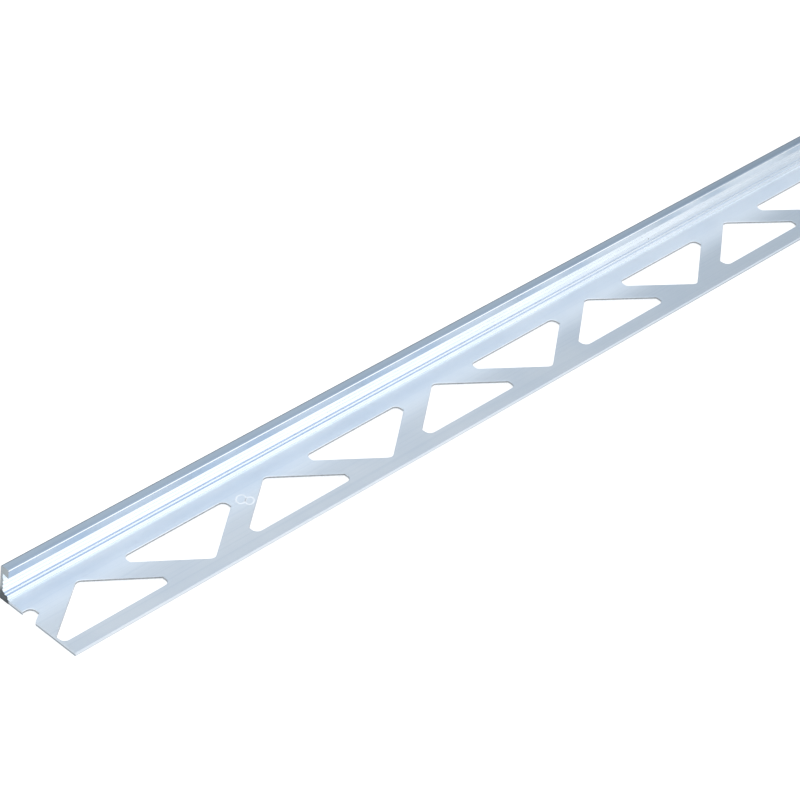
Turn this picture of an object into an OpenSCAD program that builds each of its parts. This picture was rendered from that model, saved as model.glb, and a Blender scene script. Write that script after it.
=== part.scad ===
// Tile edge trim: one length of extruded aluminium angle.
// A short grooved leg with a hooked lip stands on a thin flange punched with
// alternating triangles, so that the flange becomes a zigzag of struts.
// X runs along the stock, Y from the flange's free edge to the leg, Z up from the floor.

/* [Stock] */
// Length of the cut piece
length = 1000; // [300:50:3000]
// Height of the leg, the tile thickness that the trim is sold for
height = 8; // [8:0.5:15]
// Overall width across the flange
width = 22; // [20:0.5:40]
// Thickness of the flange
flange_t = 0.95; // [0.7:0.05:1.2]

/* [Leg and lip] */
// Thickness of the leg between its ribs
leg_t = 0.7; // [0.5:0.05:1]
// Width of the visible top face
lip_w = 2.3; // [2:0.1:4]
// Height of the lip's front face
lip_h = 2; // [1.5:0.1:3]
// Rise of the lip's undercut from its front edge to the leg
undercut = 0.25; // [0:0.05:0.5]
// Rounding of the outer top edge
outer_r = 0.4; // [0.1:0.05:0.5]
// Rounding of the lip's top edge
lip_r = 0.35; // [0.1:0.05:0.5]

/* [Grip ribs] */
// Number of grip ribs on the leg
rib_count = 3; // [1:1:3]
// Spacing of the grip ribs
rib_pitch = 0.93; // [0.6:0.01:1]
// How far a rib stands out of the leg
rib_depth = 0.3; // [0.2:0.05:0.6]
// Height of a rib's short upper flank
rib_flank = 0.36; // [0.1:0.02:0.4]

/* [Foot] */
// Height at which the foot leaves the leg
foot_h = 2.4; // [2.2:0.05:2.6]
// Width of the foot on the flange, from the leg's outer face
foot_w = 2.4; // [2.2:0.1:3]
// Distance from the leg's outer face to the foot's crest
crest_w = 1.15; // [1:0.05:1.3]
// Height of the foot's crest
crest_h = 2; // [1.7:0.05:2.1]
// Height of the foot's front step over the flange
step_h = 0.65; // [0.3:0.05:0.7]
// Run of the foot's front step along the flange
step_run = 0.1; // [0.1:0.05:0.4]
// Distance from the leg's outer face to the groove that runs along the foot
groove_d = 1.63; // [1.5:0.01:1.7]
// Radius of the groove
groove_r = 0.22; // [0.15:0.01:0.3]
// Depth of the groove's centre under the foot's face
groove_sink = 0.03; // [0:0.01:0.1]

/* [Punched triangles] */
// Spacing of triangles that point the same way
pitch = 50; // [45:1:80]
// Base of a triangle, measured to its sharp corners
tri_base = 32.9; // [20:0.1:34]
// Height of a triangle, measured to its sharp corners
tri_height = 12; // [8:0.1:13]
// How far a triangle's blunt end is set back from its sharp corner
tri_blunt = 3; // [2.4:0.1:5]
// Rounding where a blunt end meets the base
corner_r = 1.3; // [0.6:0.1:1.3]
// Rounding of a triangle's tip
tip_r = 1.4; // [0.5:0.1:2]
// Flange left between the free edge and the nearest triangles
free_rail = 3.6; // [3:0.1:6]
// Distance from the leg's outer face to the nearest triangles
leg_rail = 6.8; // [5:0.1:8]
// Distance from the near end to the first whole triangle's tip
first_tip = 13.7; // [13.7:0.1:40]

/* [Edges] */
// Rounding of the flange's upper free edge
edge_r = 0.1; // [0.05:0.05:0.3]

/* [Hidden] */
$fn = 48;
// Overrun of a cut past the stock, and the least bite that a punch takes out of an end
cut = 1;
least_bite = 0.5;

// Section points are pairs of distance from the leg's outer face and height
lip_low = height - lip_h;
root_z = lip_low + undercut;
rib_top = foot_h + rib_count * rib_pitch;
crest = [crest_w, crest_h];
step = [foot_w - step_run, flange_t + step_h];
groove_share = (groove_d - crest.x) / (step.x - crest.x);
groove_at = crest + groove_share * (step - crest) - [0, groove_sink];

// Triangle angle, and half its length between the blunt ends
half_base = tri_base / 2;
base_angle = atan(tri_height / half_base);
reach = half_base - tri_blunt;
last_pitch = ceil(length / pitch);

// Leg face from the lip's root down to the flange: ribs with a short upper flank, then the foot
function rib_points() = [
    for (i = [0 : rib_count - 1])
        let (z = rib_top - i * rib_pitch)
            each [[leg_t, z], [leg_t + rib_depth, z - rib_flank]]
];

// Outline of the section with sharp outer corners
module section_outline() {
    polygon(concat(
        [
            [0, 0],
            [0, height],
            [lip_w, height],
            [lip_w, lip_low],
            [leg_t, root_z]
        ],
        rib_points(),
        [
            [leg_t, foot_h],
            crest,
            step,
            [foot_w, flange_t],
            [width, flange_t],
            [width, 0]
        ]
    ));
}

// Waste left outside a rounding of radius r when the corner is at the origin and the stock below it
module corner_waste(r, side) {
    difference() {
        translate([side > 0 ? -r : -cut, -r]) square(r + cut);
        translate([-side * r, -r]) circle(r);
    }
}

// Whole section: the outline with its visible edges rounded and a groove in the foot
module section() {
    difference() {
        section_outline();
        translate([0, height]) corner_waste(outer_r, -1);
        translate([lip_w, height]) corner_waste(lip_r, 1);
        translate([width, flange_t]) corner_waste(edge_r, 1);
        translate(groove_at) circle(groove_r);
    }
}

// Triangle with a rounded tip at the origin's height, its base towards +Y and both ends blunt
module blunt_triangle() {
    shoulder = [reach, reach * tan(base_angle)];
    corner = [reach - corner_r, tri_height - corner_r];
    tip = [0, tip_r / cos(base_angle)];
    tip_edge = tip + tip_r * [sin(base_angle), -cos(base_angle)];
    right = [
        tip_edge,
        shoulder,
        [reach, corner.y],
        [corner.x, tri_height]
    ];
    left = [
        for (i = [len(right) - 1 : -1 : 0])
            [-right[i].x, right[i].y]
    ];
    polygon(concat(right, left));
    translate(tip) circle(tip_r);
    for (side = [-1, 1])
        translate([side * corner.x, corner.y]) circle(corner_r);
}

// Punch for one triangle, its tip at x along the stock; turned ones have their base beside the leg
module punch(x, turned) {
    tip_y = turned ? leg_rail + tri_height : width - free_rail - tri_height;
    translate([x, tip_y, -cut])
        rotate(turned ? 180 : 0)
            linear_extrude(flange_t + 2 * cut)
                blunt_triangle();
}

function bites(x) = x + reach > least_bite && x - reach < length - least_bite;

// All punches of the strip that reach into the cut piece
module punches() {
    for (i = [-1 : last_pitch]) {
        x = first_tip + i * pitch;
        turned_x = x + pitch / 2;
        if (bites(x))
            punch(x, false);
        if (bites(turned_x))
            punch(turned_x, true);
    }
}

module edge_trim() {
    color("lightsteelblue")
        translate([-length / 2, width / 2, 0])
            mirror([0, 1, 0])
                difference() {
                    rotate([90, 0, 90])
                        linear_extrude(length)
                            section();
                    punches();
                }
}

edge_trim();
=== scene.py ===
import math

import bmesh
import bpy
from mathutils import Matrix, Vector


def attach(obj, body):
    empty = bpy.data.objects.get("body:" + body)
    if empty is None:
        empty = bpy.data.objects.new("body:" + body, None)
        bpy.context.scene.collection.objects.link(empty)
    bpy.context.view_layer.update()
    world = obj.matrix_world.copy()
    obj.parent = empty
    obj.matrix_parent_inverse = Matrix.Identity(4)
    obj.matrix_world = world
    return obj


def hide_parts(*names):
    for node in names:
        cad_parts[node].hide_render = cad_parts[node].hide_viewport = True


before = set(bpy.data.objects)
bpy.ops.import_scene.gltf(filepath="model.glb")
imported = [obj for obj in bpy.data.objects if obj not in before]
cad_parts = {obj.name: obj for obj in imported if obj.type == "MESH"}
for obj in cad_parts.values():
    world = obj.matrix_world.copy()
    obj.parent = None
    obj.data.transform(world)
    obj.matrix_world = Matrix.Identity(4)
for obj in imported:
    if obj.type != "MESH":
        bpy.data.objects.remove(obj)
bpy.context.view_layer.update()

scene = bpy.context.scene
scene.view_settings.view_transform = "Standard"

# Sizes in mm, as in the part's source; x runs from the near end, d from the leg's outer face, z up
LENGTH = 1000.0
HEIGHT = 8.0
WIDTH = 22.0
FLANGE_T = 0.95
LEG_T = 0.7
LIP_W = 2.3
LIP_H = 2.0
UNDERCUT = 0.25
OUTER_R = 0.4
LIP_R = 0.35
RIB_COUNT = 3
RIB_PITCH = 0.93
RIB_DEPTH = 0.3
RIB_FLANK = 0.36
FOOT_H = 2.4
FOOT_W = 2.4
CREST_W = 1.15
CREST_H = 2.0
STEP_H = 0.65
STEP_RUN = 0.1
GROOVE_D = 1.63
GROOVE_R = 0.22
GROOVE_SINK = 0.03
EDGE_R = 0.1

# Punched triangles, as in the part's source
PITCH = 50.0
TRI_BASE = 32.9
TRI_HEIGHT = 12.0
TRI_BLUNT = 3.0
CORNER_R = 1.3
TIP_R = 1.4
FREE_RAIL = 3.6
LEG_RAIL = 6.8
FIRST_TIP = 13.7
# Triangles come every half pitch, and the first and last ones lie past the ends
FIRST_CELL = -2
LAST_CELL = int(2 * LENGTH / PITCH) + 3

# Fine rounding that only the looks need, straight pieces in an arc, and the bend that makes an edge sharp
DIE_R = 0.06
HEEL_R = 0.12
ROOT_R = 0.12
STEP_R = 0.34
FOOT_R = 0.15
SHOULDER_R = 0.08
ARC_STEPS = 6
SHARP_ANGLE = math.radians(32)

# Marks of the tools: a punched wall's rolled rim, torn depth and burr, and the lean of the near saw cut
ROLL_OVER = 0.14
BREAK_DEPTH = 0.5
BURR = 0.06
SAW_LEAN = 0.3

# Size mark on a strut: each loop's centre as (x, d), half width and half height, and which way is up
MARK_LOOPS = [((55.1, 8.74), 1.4, 1.0), ((56.14, 10.2), 1.2, 0.86)]
MARK_UP = Vector((0.58, 0.815)).normalized()
# Points round a loop
MARK_STEPS = 48
# Section of its bead as (offset from the loop, rise over the flange)
MARK_BEAD = [
    (-0.19, -0.03),
    (-0.19, 0.0),
    (-0.14, 0.045),
    (-0.07, 0.06),
    (0.07, 0.06),
    (0.14, 0.045),
    (0.19, 0.0),
    (0.19, -0.03),
]

# Camera, fitted to the photograph's edges: where it looks on the floor, and from where
AIM = Vector((-0.39505, 0.00568, 0.0))
HEADING = math.radians(40.085)
ELEVATION = math.radians(36.64)
ROLL = math.radians(6.40)
DISTANCE = 0.6081
FOCAL_PX = 2868.6
FRAME_PX = 800
SENSOR_MM = 36.0
CLIP_START = 0.01
CLIP_END = 20.0

# Floor: its size and its gap under the trim in metres, its colour, and how much it glows where it is seen
FLOOR_SIZE = 6.0
FLOOR_GAP = 0.00005
FLOOR_COLOUR = (0.62, 0.595, 0.57, 1)
FLOOR_GLOW = 0.66

# Sky: the direction along which it grows paler, and its colours on the way
SKY_AXIS = (0.0, -0.4, 1.0)
SKY = [
    (0.05, (0.06, 0.07, 0.08, 1)),
    (0.34, (0.52, 0.575, 0.63, 1)),
    (0.46, (0.58, 0.64, 0.695, 1)),
    (1.00, (0.59, 0.675, 0.77, 1)),
]

# Lamps: name, place and target in metres, width, and brightness per unit of the lamp's face
LAMPS = [
    ("left", (-0.95, 0.0, 0.9), (-0.45, 0.0, 0.0), 0.8, 1.0),
    ("front", (-0.19, -0.78, 0.53), (-0.48, 0.0, 0.0), 1.28, 0.57),
    ("behind", (-0.10, 0.55, 0.89), (-0.45, 0.0, 0.0), 1.1, 0.42),
    ("far", (0.6, -0.12, 0.82), (-0.27, 0.0, 0.0), 0.6, 0.4),
]

MM = 0.001
MICRON = 0.000001


def place(x, d, z):
    """Point of the frame, from mm along the stock, across it from the leg's outer face, and up."""
    return Vector((x - LENGTH / 2, WIDTH / 2 - d, z)) * MM


def y_at(d):
    """Y of the frame, from mm across the stock."""
    return (WIDTH / 2 - d) * MM


# Crest, step and groove centre of the foot as (d, z), and the slack for points that count as on its face
CREST = Vector((CREST_W, CREST_H))
STEP = Vector((FOOT_W - STEP_RUN, FLANGE_T + STEP_H))
GROOVE_AT = CREST.lerp(STEP, (GROOVE_D - CREST.x) / (STEP.x - CREST.x)) - Vector((0, GROOVE_SINK))
LAND_SLACK = 0.005
# Root of the lip, and the least d and z of the part of its rounding that carries the painted highlight
LIP_ROOT_Z = HEIGHT - LIP_H + UNDERCUT
LIP_EDGE_D = LIP_W - LIP_R / 2
LIP_EDGE_Z = HEIGHT - 0.9 * LIP_R

# Finishes, in the order of the trim's material slots
DRAWN, LEG, LAND, HIGHLIGHT, VISIBLE, SHEARED_SHADED, BURNISHED, SAWN = range(8)

# Bands across the stock in which a finish or a painted tone sets in, each from none to all of it
# Painted sheen: the metal grows paler towards the leg, for the light the leg throws on the flange
LEG_SIDE_SHEEN_Y = (y_at(14), y_at(6))
RUBBED_Y = (y_at(3.2), y_at(2.6))
OUTER_FACE_Y = (y_at(0.04), y_at(0.01))
# Painted shade on the face of the free edge
FREE_EDGE_SHADE_Y = (y_at(WIDTH - 0.04), y_at(WIDTH - 0.01))
# Painted sheen, paler towards the outer side of the lip's top
TOP_OUTER_SHEEN_Y = (y_at(1.8), y_at(0.8))
# Band of the lip's front, which is painted with shade
LIP_FRONT_SHADE_Y = (y_at(LIP_W - 0.06), y_at(LIP_W - 0.01))
# Painted dark line of shade along the top's outer edge
OUTER_EDGE_SHADE_Y = (y_at(1.4 * OUTER_R), y_at(0.6 * OUTER_R))
LEG_CUT_Y = (y_at(FOOT_W + 0.6), y_at(FOOT_W))
# The same in height: painted shade low on the free edge, painted shade under the lip, the leg's end above
# its painted shade, both sides of the painted dark band on the flange's cut
FREE_EDGE_SHADE_Z = (0.52 * MM, 0.36 * MM)
# Painted shade on the lip's underside, below these heights
UNDER_LIP_SHADE_Z = ((LIP_ROOT_Z + 0.1) * MM, (LIP_ROOT_Z + 0.02) * MM)
# The leg's end is free of the painted shade at its foot above this height
ABOVE_FOOT_SHADE_Z = (1.8 * MM, 3.4 * MM)
# Both sides of the painted dark band of shade on the flange's cut
CUT_SHADE_LOW_Z = (0.06 * MM, 0.16 * MM)
CUT_SHADE_HIGH_Z = (0.50 * MM, 0.36 * MM)
# The same along the stock: where the painted light and shade of the rest take over, and the end that is
# free of the painted shade at its foot
CHANGE_X = (-0.42, -0.27)
# Along the stock, only the near end's cut carries the painted shade at its foot
PAST_FOOT_SHADE_X = (-0.1, 0.1)
# Range of a noise that carries most of its change, and the range of its strongest lines
NOISE_SPAN = (0.3, 0.7)
STRONG_LINES = (0.5, 0.8)
# Cells per metre of the die's fine lines
DIE_LINES = (4, 2600, 2600)
# Roughness of the drawn metal where it is rubbed smooth beside the leg
RUBBED_ROUGHNESS = 0.21

# Tones that change along the stock, at the near end and on the rest, for painted light and shade that
# differ along it
# The flange's own tone, painted darker past the near end as shade
FLANGE_TONE_AND_SHADE = ((0.715, 0.752, 0.792, 1), (0.64, 0.69, 0.74, 1))
# Tone beside the leg: the metal's own tone, raised by painted sheen
LEG_SIDE_SHEEN = ((0.94, 0.97, 0.994, 1), (0.945, 0.965, 0.985, 1))
# Painted shade low on the free edge, deeper past the near end
FREE_EDGE_SHADE = ((0.67, 0.70, 0.735, 1), (0.43, 0.47, 0.51, 1))
# Lip's front: its own tone, painted darker and bluish as shade, most at the near end
LIP_FRONT_SHADE = ((0.50, 0.59, 0.70, 1), (0.64, 0.70, 0.76, 1))
# Painted bluish shade under the lip, deeper at the near end
UNDER_LIP_SHADE = ((0.55, 0.65, 0.81, 1), (0.80, 0.87, 0.95, 1))
# Tones that a noise takes from one to the other
# Near-white tones that paint the highlight on the lip's edge and in the foot's groove
HIGHLIGHT_TONES = ((0.97, 0.98, 0.99, 1), (0.90, 0.93, 0.96, 1))
# Lip's top: its own tone, painted darker and bluish as shade and a reflection of the sky
TOP_SHADE_TONES = ((0.375, 0.455, 0.55, 1), (0.41, 0.49, 0.58, 1))
BURNISHED_TONES = ((0.84, 0.86, 0.88, 1), (0.92, 0.935, 0.95, 1))
# Pale tones that paint the glint on the size mark's beads
MARK_GLINT_TONES = ((0.95, 0.965, 0.985, 1), (0.98, 0.985, 0.995, 1))
# Torn part of a punched wall: its own dark tone, deepened with painted shade
SHEARED_AND_SHADE_TONES = ((0.24, 0.255, 0.27, 1), (0.40, 0.42, 0.44, 1))
# Painted shade darkening the foot of the near end's cut
FOOT_END_SHADE_TONES = ((0.05, 0.06, 0.07, 1), (0.15, 0.17, 0.19, 1))
SAWN_TONES = ((0.30, 0.34, 0.36, 1), (0.42, 0.46, 0.48, 1))
RUBBED_TONES = ((0.57, 0.63, 0.69, 1), (0.65, 0.71, 0.77, 1))
# Single tones, and tints that multiply a tone
OUTER_FACE = (0.52, 0.57, 0.62, 1)
# Paler tone of the painted sheen on the top's outer side
TOP_OUTER_SHEEN = (0.465, 0.545, 0.62, 1)
TOP_LINES = (0.34, 0.405, 0.49, 1)
# Dark tone of the painted shade on the top's outer edge
OUTER_EDGE_SHADE = (0.17, 0.20, 0.24, 1)
# Painted dark band of shade across the flange's cut
CUT_SHADE_LINE = (0.34, 0.365, 0.39, 1)
DIRT = (0.30, 0.29, 0.28, 1)
NO_TINT = (1, 1, 1, 1)
# Blue painted reflection on the lands of the foot, at the near end
LAND_REFLECTION_TINT = (0.90, 0.94, 1.0, 1)
CLOUD_TINT = (0.90, 0.93, 0.965, 1)
LINE_TINT = (0.80, 0.85, 0.90, 1)


# Outlines

def rounded(corners):
    """Closed outline through (point, radius) corners, with an arc for each radius."""
    points = []
    for i, (here, radius) in enumerate(corners):
        here = Vector(here)
        if radius == 0:
            points.append(here)
            continue
        back = (Vector(corners[i - 1][0]) - here).normalized()
        ahead = (Vector(corners[(i + 1) % len(corners)][0]) - here).normalized()
        half = back.angle(ahead) / 2
        centre = here + (back + ahead).normalized() * radius / math.sin(half)
        start = here + back * radius / math.tan(half) - centre
        end = here + ahead * radius / math.tan(half) - centre
        sweep = math.pi - 2 * half
        for k in range(ARC_STEPS + 1):
            first = math.sin(sweep * (1 - k / ARC_STEPS)) / math.sin(sweep)
            last = math.sin(sweep * k / ARC_STEPS) / math.sin(sweep)
            points.append(centre + start * first + end * last)
    return points


def grown(loop, amount):
    """Anticlockwise loop moved outwards by an amount, with mitred corners."""
    moved = []
    for i, here in enumerate(loop):
        back = (here - loop[i - 1]).normalized()
        ahead = (loop[(i + 1) % len(loop)] - here).normalized()
        normal = Vector((back.y + ahead.y, -back.x - ahead.x)).normalized()
        moved.append(here + normal * amount / normal.dot(Vector((ahead.y, -ahead.x))))
    return moved


def groove_corners():
    """Arc of the groove between the foot's crest and its step."""
    along = (STEP - CREST).normalized()
    middle = CREST + along * (GROOVE_AT - CREST).dot(along)
    half_chord = math.sqrt(GROOVE_R ** 2 - (GROOVE_AT - middle).length_squared)
    start = middle - along * half_chord - GROOVE_AT
    inward = math.tau - 2 * math.asin(half_chord / GROOVE_R)
    steps = 2 * ARC_STEPS
    return [(GROOVE_AT + Matrix.Rotation(inward * k / steps, 2) @ start, 0) for k in range(steps + 1)]


def section_outline():
    """Section of the stock as (distance from the leg's outer face, height) points."""
    rib_top = FOOT_H + RIB_COUNT * RIB_PITCH
    corners = [
        ((0, 0), HEEL_R),
        ((0, HEIGHT), OUTER_R),
        ((LIP_W, HEIGHT), LIP_R),
        ((LIP_W, HEIGHT - LIP_H), DIE_R),
        ((LEG_T, LIP_ROOT_Z), ROOT_R),
    ]
    for i in range(RIB_COUNT):
        z = rib_top - i * RIB_PITCH
        corners.append(((LEG_T, z), DIE_R))
        corners.append(((LEG_T + RIB_DEPTH, z - RIB_FLANK), DIE_R))
    corners += [((LEG_T, FOOT_H), DIE_R), (CREST, DIE_R)]
    corners += groove_corners()
    corners += [
        (STEP, STEP_R),
        ((FOOT_W, FLANGE_T), FOOT_R),
        ((WIDTH, FLANGE_T), EDGE_R),
        ((WIDTH, 0), HEEL_R),
    ]
    return rounded(corners)


def triangle_outline(tip_x, turned):
    """Anticlockwise outline of one punched triangle as (x, d) points."""
    reach = TRI_BASE / 2 - TRI_BLUNT
    shoulder = reach * TRI_HEIGHT / (TRI_BASE / 2)
    loop = rounded([
        ((0, 0), TIP_R),
        ((reach, shoulder), SHOULDER_R),
        ((reach, TRI_HEIGHT), CORNER_R),
        ((-reach, TRI_HEIGHT), CORNER_R),
        ((-reach, shoulder), SHOULDER_R),
    ])
    tip_d = LEG_RAIL + TRI_HEIGHT if turned else WIDTH - FREE_RAIL - TRI_HEIGHT
    side = -1 if turned else 1
    return [Vector((tip_x, tip_d)) + p * side for p in loop]


# Trim mesh

def wall_rings():
    """Rings of a punched wall as (growth, height, finish): rolled rim, torn zone darkened with painted
    shade, burnished zone, burr.
    """
    rings = []
    for k in range(ARC_STEPS + 1):
        turn = math.pi / 2 * k / ARC_STEPS
        rings.append((ROLL_OVER * (1 - math.sin(turn)), FLANGE_T - ROLL_OVER * (1 - math.cos(turn)), DRAWN))
    # The torn band below the rim is darkened with painted shade
    rings.append((0.0, FLANGE_T - BREAK_DEPTH, SHEARED_SHADED))
    rings.append((0.0, BURR, BURNISHED))
    rings.append((BURR, 0.0, BURNISHED))
    return rings


def join_rings(bm, first, second, material, closed):
    """Quads between two rows of as many vertices."""
    count = len(first)
    for i in range(count if closed else count - 1):
        j = (i + 1) % count
        face = bm.faces.new((first[i], first[j], second[j], second[i]))
        face.material_index = material
        face.smooth = True


def edges_along(bm, verts, closed):
    """Edges that link a row of vertices, made where there are none."""
    pairs = zip(verts, verts[1:] + verts[:1]) if closed else zip(verts, verts[1:])
    return [bm.edges.get(pair) or bm.edges.new(pair) for pair in pairs]


def fill_plane(bm, edges, normal, material):
    """Flat face with holes, filled between its boundary edges."""
    made = bmesh.ops.triangle_fill(bm, edges=edges, use_beauty=True, normal=normal)
    for item in made["geom"]:
        if isinstance(item, bmesh.types.BMFace):
            item.material_index = material
            item.smooth = True


def section_finish(here, there):
    """Finish of the strip between two points of the section."""
    outside = max(here.x, there.x) == 0
    low, high = sorted((here.y, there.y))
    if outside or max(here.x, there.x) > FOOT_W + FOOT_R or high <= FLANGE_T / 2:
        return DRAWN
    if low < HEIGHT - LIP_H:
        return foot_finish(here, there)
    # The lower part of the lip's rounding takes the painted highlight
    lip_edge = min(here.x, there.x) > LIP_EDGE_D and low > LIP_EDGE_Z
    return HIGHLIGHT if lip_edge else VISIBLE


def foot_finish(here, there):
    """Finish of a strip below the lip: the foot has a groove with a painted highlight between two lands."""
    face = STEP - CREST
    if max(abs(face.cross(p - CREST)) for p in (here, there)) < LAND_SLACK:
        return LAND
    # The groove takes the painted highlight
    if max((p - GROOVE_AT).length for p in (here, there)) < GROOVE_R + LAND_SLACK:
        return HIGHLIGHT
    return LEG


def saw(bm, point, outward):
    """Cut everything beyond a plane away and close the section."""
    everything = bm.verts[:] + bm.edges[:] + bm.faces[:]
    cut = bmesh.ops.bisect_plane(bm, geom=everything, plane_co=point, plane_no=outward, clear_outer=True)
    edges = [item for item in cut["geom_cut"] if isinstance(item, bmesh.types.BMEdge)]
    fill_plane(bm, edges, outward, SAWN)


def mark_sharp(bm):
    """Keep strongly bent edges sharp in the shading."""
    for edge in bm.edges:
        if len(edge.link_faces) == 2:
            edge.smooth = edge.calc_face_angle(0.0) < SHARP_ANGLE


def drawn_stock(bm):
    """Stock without the two flat faces of its flange; gives the edges around each of them."""
    stations = [FIRST_TIP + PITCH / 2 * (i - 0.5) for i in range(FIRST_CELL, LAST_CELL + 1)]
    outline = section_outline()
    rows = [[bm.verts.new(place(x, p.x, p.y)) for x in stations] for p in outline]
    sides = {}
    for i, here in enumerate(outline):
        j = (i + 1) % len(outline)
        there = outline[j]
        flange_face = (there - here).length > WIDTH / 2
        if flange_face:
            sides["top" if here.y > FLANGE_T / 2 else "bottom"] = (rows[i], rows[j])
            continue
        join_rings(bm, rows[i], rows[j], section_finish(here, there), False)

    flats = {}
    for name, (near, far) in sides.items():
        edges = edges_along(bm, near, False) + edges_along(bm, far, False)
        edges += edges_along(bm, [near[0], far[0]], False) + edges_along(bm, [near[-1], far[-1]], False)
        flats[name] = edges
    return flats


def punch(bm, loop, flats):
    """Walls of one punched triangle, with their rims added to the edges of the flange's faces."""
    walls = []
    for growth, z, finish in wall_rings():
        ring = [bm.verts.new(place(p.x, p.y, z)) for p in grown(loop, growth)]
        if walls:
            join_rings(bm, walls[-1], ring, finish, True)
        walls.append(ring)
    flats["top"] += edges_along(bm, walls[0], True)
    flats["bottom"] += edges_along(bm, walls[-1], True)


def trim_mesh():
    """Stock drawn past both ends, punched, and then sawn to length."""
    bm = bmesh.new()
    flats = drawn_stock(bm)
    for i in range(FIRST_CELL, LAST_CELL):
        turned = i % 2 == 1
        punch(bm, triangle_outline(FIRST_TIP + PITCH / 2 * i, turned), flats)
    fill_plane(bm, flats["top"], (0, 0, 1), DRAWN)
    fill_plane(bm, flats["bottom"], (0, 0, -1), DRAWN)

    lean = Vector((-HEIGHT, 0, SAW_LEAN)).normalized()
    saw(bm, place(0, WIDTH, 0), lean)
    saw(bm, place(LENGTH, WIDTH, 0), Vector((1, 0, 0)))
    bmesh.ops.recalc_face_normals(bm, faces=bm.faces)
    mark_sharp(bm)
    mesh = bpy.data.meshes.new("trim_body")
    bm.to_mesh(mesh)
    bm.free()
    return mesh


# Materials

class Nodes:
    """Short way to make and link the nodes of one material."""

    def __init__(self, name):
        self.material = bpy.data.materials.new(name)
        self.material.use_nodes = True
        self.tree = self.material.node_tree
        self.shader = self.tree.nodes["Principled BSDF"]
        self.where = self.tree.nodes.new("ShaderNodeTexCoord").outputs["Object"]

    def link(self, source, target):
        self.tree.links.new(source, target)

    def feed(self, socket, value):
        """Link a node's output to a socket, or set the socket to a plain value."""
        if isinstance(value, bpy.types.NodeSocket):
            self.link(value, socket)
        else:
            socket.default_value = value

    def stretched(self, scale):
        """Object position with each axis scaled on its own."""
        node = self.tree.nodes.new("ShaderNodeMapping")
        node.inputs["Scale"].default_value = scale
        self.link(self.where, node.inputs["Vector"])
        return node.outputs[0]

    def noise(self, scale, detail=2.0, roughness=0.5):
        """Noise with so many cells per metre along each axis."""
        node = self.tree.nodes.new("ShaderNodeTexNoise")
        node.inputs["Scale"].default_value = 1.0
        node.inputs["Detail"].default_value = detail
        node.inputs["Roughness"].default_value = roughness
        self.link(self.stretched(scale), node.inputs["Vector"])
        return node.outputs["Fac"]

    def specks(self, per_metre, share, size):
        """Small round spots of a size in metres, in a share of the cells of a loose grid."""
        node = self.tree.nodes.new("ShaderNodeTexVoronoi")
        node.inputs["Scale"].default_value = per_metre
        self.link(self.where, node.inputs["Vector"])
        spot = self.ramp(node.outputs["Distance"], size * per_metre, 0.0)
        parts = self.tree.nodes.new("ShaderNodeSeparateColor")
        self.link(node.outputs["Color"], parts.inputs[0])
        chosen = self.maths("LESS_THAN", parts.outputs[0], share)
        return self.maths("MULTIPLY", spot, chosen)

    def axis(self, name):
        """One coordinate of the place on the stock."""
        node = self.tree.nodes.new("ShaderNodeSeparateXYZ")
        self.link(self.where, node.inputs[0])
        return node.outputs[name]

    def maths(self, operation, first, second):
        node = self.tree.nodes.new("ShaderNodeMath")
        node.operation = operation
        self.feed(node.inputs[0], first)
        self.feed(node.inputs[1], second)
        return node.outputs[0]

    def ramp(self, value, low, high, to_low=0.0, to_high=1.0):
        """Value eased from one range to another and held at its ends."""
        node = self.tree.nodes.new("ShaderNodeMapRange")
        node.interpolation_type = "SMOOTHSTEP"
        self.link(value, node.inputs["Value"])
        node.inputs["From Min"].default_value = low
        node.inputs["From Max"].default_value = high
        node.inputs["To Min"].default_value = to_low
        node.inputs["To Max"].default_value = to_high
        return node.outputs["Result"]

    def mixed(self, factor, first, second):
        """Colour between two others."""
        node = self.tree.nodes.new("ShaderNodeMix")
        node.data_type = "RGBA"
        self.feed(node.inputs["Factor"], factor)
        self.feed(node.inputs["A"], first)
        self.feed(node.inputs["B"], second)
        return node.outputs["Result"]

    def changing(self, near, rest):
        """Colour that changes along the stock, from that of the near end to that of the rest; it paints
        light and shade that differ along the stock.
        """
        return self.mixed(self.ramp(self.axis("X"), *CHANGE_X), near, rest)

    def dappled(self, noise, first, second):
        """Colour that a noise takes from one to another."""
        return self.mixed(self.ramp(noise, *NOISE_SPAN), first, second)

    def uneven(self, noise, low, high):
        """Value that a noise takes from low to high."""
        return self.ramp(noise, *NOISE_SPAN, low, high)

    def tinted(self, colour, tint):
        """Colour multiplied by a tint."""
        node = self.tree.nodes.new("ShaderNodeMix")
        node.data_type = "RGBA"
        node.blend_type = "MULTIPLY"
        node.inputs["Factor"].default_value = 1.0
        self.link(colour, node.inputs["A"])
        node.inputs["B"].default_value = tint
        return node.outputs["Result"]

    def bump(self, height, depth, under=None):
        """Bump of a depth in metres, on top of another bump."""
        node = self.tree.nodes.new("ShaderNodeBump")
        node.inputs["Strength"].default_value = 1.0
        node.inputs["Distance"].default_value = depth
        self.link(height, node.inputs["Height"])
        if under is not None:
            self.link(under, node.inputs["Normal"])
        return node.outputs[0]

    def metal(self, colour, roughness, normal, metallic=1.0):
        """Finished material."""
        self.shader.inputs["Metallic"].default_value = metallic
        self.feed(self.shader.inputs["Base Color"], colour)
        self.feed(self.shader.inputs["Roughness"], roughness)
        self.link(normal, self.shader.inputs["Normal"])
        return self.material


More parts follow.
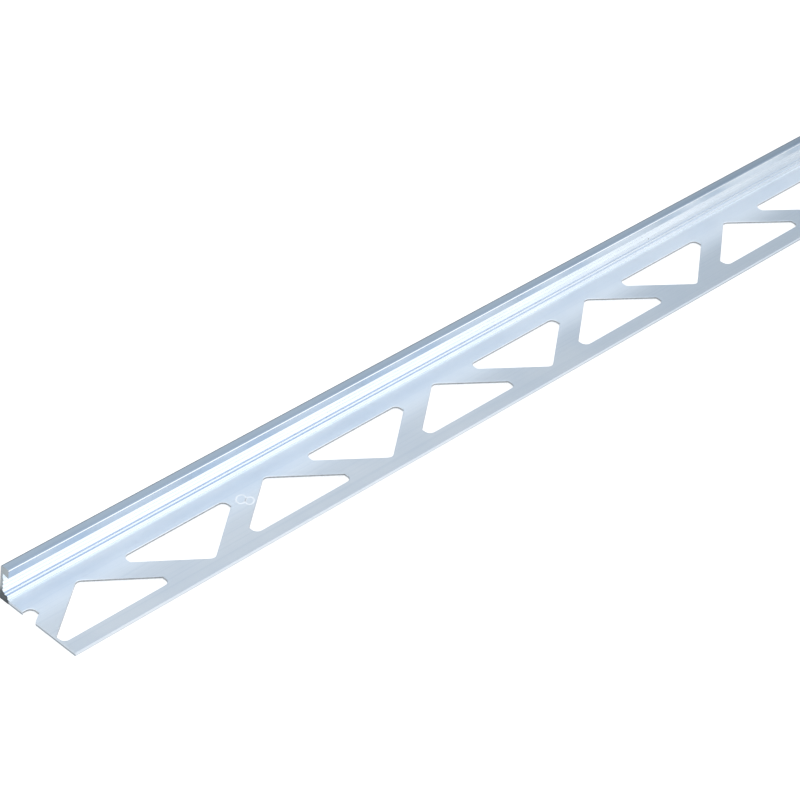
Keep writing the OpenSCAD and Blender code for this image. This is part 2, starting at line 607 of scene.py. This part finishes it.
def drawn_aluminium(name, roughness, grain_along, tint=NO_TINT):
    """Mill finish of the flange and leg: fine die lines along the stock, soft clouds, some specks, painted
    sheen towards the leg, painted light and shade along the stock, painted shade low on the free edge, and
    a tint at the near end that on the lands paints a blue reflection.
    """
    n = Nodes(name)
    clouds = n.noise((55, 90, 90), detail=3.0)
    lines = n.noise(DIE_LINES, detail=3.0, roughness=0.6)
    dirt = n.specks(per_metre=130, share=0.3, size=0.22 * MM)
    across = n.axis("Y")
    # Painted sheen, paler towards the leg, over painted light and shade along the stock
    tone = n.mixed(n.ramp(across, *LEG_SIDE_SHEEN_Y), n.changing(*FLANGE_TONE_AND_SHADE), n.changing(*LEG_SIDE_SHEEN))
    tone = n.mixed(n.uneven(clouds, 0.0, 0.5), tone, n.tinted(tone, CLOUD_TINT))
    tone = n.mixed(n.ramp(lines, *STRONG_LINES, to_high=0.35), tone, n.tinted(tone, LINE_TINT))
    # Painted shade on the lower part of the free edge
    free_edge_shade = n.maths("MULTIPLY", n.ramp(across, *FREE_EDGE_SHADE_Y), n.ramp(n.axis("Z"), *FREE_EDGE_SHADE_Z))
    tone = n.mixed(free_edge_shade, tone, n.changing(*FREE_EDGE_SHADE))
    tone = n.mixed(n.ramp(across, *OUTER_FACE_Y), tone, OUTER_FACE)
    # At the near end, a tint on the tone; on the lands it paints a blue reflection
    tone = n.changing(n.tinted(tone, tint), tone)
    colour = n.mixed(dirt, tone, DIRT)
    rubbed = n.maths("MULTIPLY", n.ramp(across, *RUBBED_Y), max(0.0, roughness - RUBBED_ROUGHNESS))
    cloudy = n.maths("SUBTRACT", n.uneven(clouds, roughness - 0.03, roughness), rubbed)
    lined = n.uneven(lines, 0.0, 0.05)
    grain = n.bump(n.noise((grain_along, 1800, 1800), detail=2.0), 1.2 * MICRON)
    return n.metal(colour, n.maths("ADD", cloudy, lined), n.bump(lines, MICRON, grain))


def highlight_aluminium():
    """Lip edge and foot groove, given a near-white tone that paints their highlight."""
    n = Nodes("highlight_aluminium")
    lines = n.noise(DIE_LINES, detail=3.0, roughness=0.6)
    colour = n.mixed(n.ramp(lines, 0.4, 0.8), *HIGHLIGHT_TONES)
    return n.metal(colour, n.uneven(lines, 0.09, 0.14), n.bump(lines, 0.6 * MICRON))


def visible_aluminium():
    """Smoother lip that stays in sight beside the tiles: its top painted darker and bluish as shade and a
    reflection of the sky, with painted sheen towards its outer side, its front and underside painted with
    shade, and a painted dark line of shade along its outer edge.
    """
    n = Nodes("visible_aluminium")
    clouds = n.noise((40, 120, 120), detail=2.0)
    lines = n.noise((3, 3600, 3600), detail=2.0, roughness=0.6)
    across = n.axis("Y")
    # Top of the lip painted darker and bluish as shade and reflected sky
    tone = n.dappled(clouds, *TOP_SHADE_TONES)
    # Painted sheen towards the outer side of the top
    tone = n.mixed(n.ramp(across, *TOP_OUTER_SHEEN_Y, to_high=0.6), tone, TOP_OUTER_SHEEN)
    tone = n.mixed(n.ramp(lines, *STRONG_LINES, to_high=0.3), tone, TOP_LINES)
    # Painted shade on the lip's front
    front = n.ramp(across, *LIP_FRONT_SHADE_Y)
    tone = n.mixed(front, tone, n.changing(*LIP_FRONT_SHADE))
    behind_front = n.maths("SUBTRACT", 1.0, front)
    # Painted bluish shade on the lip's underside, behind its front
    under = n.maths("MULTIPLY", n.ramp(n.axis("Z"), *UNDER_LIP_SHADE_Z), behind_front)
    tone = n.mixed(under, tone, n.changing(*UNDER_LIP_SHADE))
    # Painted shade along the outer edge of the top
    colour = n.mixed(n.ramp(across, *OUTER_EDGE_SHADE_Y, to_high=0.8), tone, OUTER_EDGE_SHADE)
    return n.metal(colour, n.uneven(lines, 0.30, 0.36), n.bump(lines, 0.6 * MICRON))


def burnished_aluminium():
    """Bright lower part of a punched wall, rubbed by the punch."""
    n = Nodes("burnished_aluminium")
    streaks = n.noise((1800, 1800, 140), detail=2.0, roughness=0.6)
    colour = n.dappled(streaks, *BURNISHED_TONES)
    return n.metal(colour, n.uneven(streaks, 0.26, 0.36), n.bump(streaks, 2 * MICRON))


def mark_glint_aluminium():
    """Frosted metal of the size mark, given a pale tone that paints the glint on its beads."""
    n = Nodes("mark_glint_aluminium")
    grain = n.noise((4000, 4000, 4000), detail=3.0, roughness=0.6)
    colour = n.dappled(grain, *MARK_GLINT_TONES)
    return n.metal(colour, n.uneven(grain, 0.6, 0.75), n.bump(grain, 4 * MICRON), metallic=0.1)


def sheared_shaded_aluminium():
    """Torn part of a punched wall: dark, partly its own tone and partly painted shade, with streaks down
    the stroke of the punch.
    """
    n = Nodes("sheared_shaded_aluminium")
    streaks = n.noise((2200, 2200, 160), detail=3.0, roughness=0.6)
    colour = n.dappled(streaks, *SHEARED_AND_SHADE_TONES)
    return n.metal(colour, n.uneven(streaks, 0.42, 0.58), n.bump(streaks, 6 * MICRON))


def sawn_aluminium():
    """Cut ends: rubbed flange with a painted dark band of shade low on it, sawn leg, and painted shade on
    the near end's foot.
    """
    n = Nodes("sawn_aluminium")
    height = n.axis("Z")
    marks = n.noise((300, 300, 3400), detail=3.0, roughness=0.6)
    # Painted shade on the lower leg of the near end's cut, none above it or at the far end
    unshaded = n.maths("MAXIMUM", n.ramp(height, *ABOVE_FOOT_SHADE_Z), n.ramp(n.axis("X"), *PAST_FOOT_SHADE_X))
    leg = n.mixed(unshaded, n.dappled(marks, *FOOT_END_SHADE_TONES), n.dappled(marks, *SAWN_TONES))
    # Painted dark band of shade low on the flange's cut
    cut_shade = n.maths("MULTIPLY", n.ramp(height, *CUT_SHADE_LOW_Z), n.ramp(height, *CUT_SHADE_HIGH_Z))
    flange = n.mixed(cut_shade, n.dappled(marks, *RUBBED_TONES), CUT_SHADE_LINE)
    colour = n.mixed(n.ramp(n.axis("Y"), *LEG_CUT_Y), flange, leg)
    return n.metal(colour, n.uneven(marks, 0.42, 0.6), n.bump(marks, 10 * MICRON))


def add_trim():
    """Whole trim, in place of its plain solid."""
    mesh = trim_mesh()
    trim = bpy.data.objects.new("trim_body", mesh)
    scene.collection.objects.link(trim)
    finishes = {
        DRAWN: drawn_aluminium("flange_aluminium", roughness=0.46, grain_along=900),
        LEG: drawn_aluminium("leg_aluminium", roughness=0.24, grain_along=8),
        # The lands take a blue painted reflection at the near end
        LAND: drawn_aluminium("land_aluminium", roughness=0.42, grain_along=8, tint=LAND_REFLECTION_TINT),
        HIGHLIGHT: highlight_aluminium(),
        VISIBLE: visible_aluminium(),
        SHEARED_SHADED: sheared_shaded_aluminium(),
        BURNISHED: burnished_aluminium(),
        SAWN: sawn_aluminium(),
    }
    for index in sorted(finishes):
        mesh.materials.append(finishes[index])
    even = trim.modifiers.new("even_normals", "WEIGHTED_NORMAL")
    even.keep_sharp = True
    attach(trim, "root")
    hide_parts("edge_trim")


# Size mark

def bead_ring(bm, centre, upright, half_width, half_height):
    """Low round bead along an ellipse on the flange's top, sunk a little into it."""
    across = Vector((-upright.y, upright.x))
    rows = []
    for k in range(MARK_STEPS):
        turn = math.tau * k / MARK_STEPS
        spoke = across * (half_width * math.cos(turn)) + upright * (half_height * math.sin(turn))
        outward = across * math.cos(turn) / half_width + upright * math.sin(turn) / half_height
        outward.normalize()
        row = []
        for side, rise in MARK_BEAD:
            point = centre + spoke + outward * side
            row.append(bm.verts.new(place(point.x, point.y, FLANGE_T + rise)))
        rows.append(row)
    for k in range(MARK_STEPS):
        join_rings(bm, rows[k], rows[(k + 1) % MARK_STEPS], 0, True)


def add_size_mark():
    """Plain figure of the trim's height, raised on one strut as two beads."""
    bm = bmesh.new()
    for centre, half_width, half_height in MARK_LOOPS:
        bead_ring(bm, Vector(centre), MARK_UP, half_width, half_height)
    bmesh.ops.recalc_face_normals(bm, faces=bm.faces)
    mesh = bpy.data.meshes.new("size_mark")
    bm.to_mesh(mesh)
    bm.free()
    mark = bpy.data.objects.new("size_mark", mesh)
    scene.collection.objects.link(mark)
    mesh.materials.append(mark_glint_aluminium())
    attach(mark, "root")


# Camera, floor and light

def add_camera():
    """Pinhole camera at the photograph's place."""
    data = bpy.data.cameras.new("camera")
    data.sensor_width = SENSOR_MM
    data.lens = FOCAL_PX / FRAME_PX * SENSOR_MM
    data.clip_start = CLIP_START
    data.clip_end = CLIP_END
    forward = Vector((math.cos(HEADING) * math.cos(ELEVATION),
                      math.sin(HEADING) * math.cos(ELEVATION),
                      -math.sin(ELEVATION)))
    level = Vector((math.sin(HEADING), -math.cos(HEADING), 0.0))
    right = Matrix.Rotation(-ROLL, 3, forward) @ level
    up = right.cross(forward)
    turn = Matrix((right, up, -forward)).transposed()
    camera = bpy.data.objects.new("camera", data)
    camera.matrix_world = Matrix.Translation(AIM - forward * DISTANCE) @ turn.to_4x4()
    scene.collection.objects.link(camera)
    scene.camera = camera


def floor_material():
    """Pale and matt, with a glow that makes it white to the camera and in the metal."""
    material = bpy.data.materials.new("floor")
    material.use_nodes = True
    nodes, links = material.node_tree.nodes, material.node_tree.links
    nodes.clear()
    path = nodes.new("ShaderNodeLightPath")
    seen = path.outputs["Is Camera Ray"]
    for ray in ("Is Glossy Ray", "Is Transmission Ray"):
        either = nodes.new("ShaderNodeMath")
        either.operation = "MAXIMUM"
        links.new(seen, either.inputs[0])
        links.new(path.outputs[ray], either.inputs[1])
        seen = either.outputs[0]
    level = nodes.new("ShaderNodeMath")
    level.operation = "MULTIPLY"
    level.inputs[1].default_value = FLOOR_GLOW
    links.new(seen, level.inputs[0])
    glow = nodes.new("ShaderNodeEmission")
    links.new(level.outputs[0], glow.inputs["Strength"])
    matt = nodes.new("ShaderNodeBsdfDiffuse")
    matt.inputs["Color"].default_value = FLOOR_COLOUR
    both = nodes.new("ShaderNodeAddShader")
    links.new(matt.outputs[0], both.inputs[0])
    links.new(glow.outputs[0], both.inputs[1])
    out = nodes.new("ShaderNodeOutputMaterial")
    links.new(both.outputs[0], out.inputs["Surface"])
    return material


def add_floor():
    """Plain floor that takes the shadow."""
    bpy.ops.mesh.primitive_plane_add(size=FLOOR_SIZE, location=(0, 0, -FLOOR_GAP))
    floor = bpy.context.object
    floor.name = "floor"
    floor.data.materials.append(floor_material())


def add_softbox(name, at, towards, size, radiance):
    """Square area lamp of a given brightness per unit of its face."""
    data = bpy.data.lights.new(name, "AREA")
    data.size = size
    data.energy = radiance * math.pi * size * size
    lamp = bpy.data.objects.new(name, data)
    lamp.location = at
    lamp.rotation_euler = (Vector(towards) - Vector(at)).to_track_quat("-Z", "Y").to_euler()
    scene.collection.objects.link(lamp)


def add_world():
    """Pale sky over a darker horizon behind the leg."""
    world = bpy.data.worlds.new("world")
    scene.world = world
    world.use_nodes = True
    nodes = world.node_tree.nodes
    links = world.node_tree.links
    direction = nodes.new("ShaderNodeTexCoord")
    height = nodes.new("ShaderNodeVectorMath")
    height.operation = "DOT_PRODUCT"
    height.inputs[1].default_value = SKY_AXIS
    links.new(direction.outputs["Generated"], height.inputs[0])
    ramp = nodes.new("ShaderNodeValToRGB")
    links.new(height.outputs["Value"], ramp.inputs["Fac"])
    stops = ramp.color_ramp.elements
    stops[0].position, stops[0].color = SKY[0]
    stops[1].position, stops[1].color = SKY[-1]
    for position, colour in SKY[1:-1]:
        stops.new(position).color = colour
    links.new(ramp.outputs["Color"], nodes["Background"].inputs["Color"])


add_camera()
add_trim()
add_size_mark()
add_floor()
for name, at, towards, size, radiance in LAMPS:
    add_softbox(name, at, towards, size, radiance)
add_world()
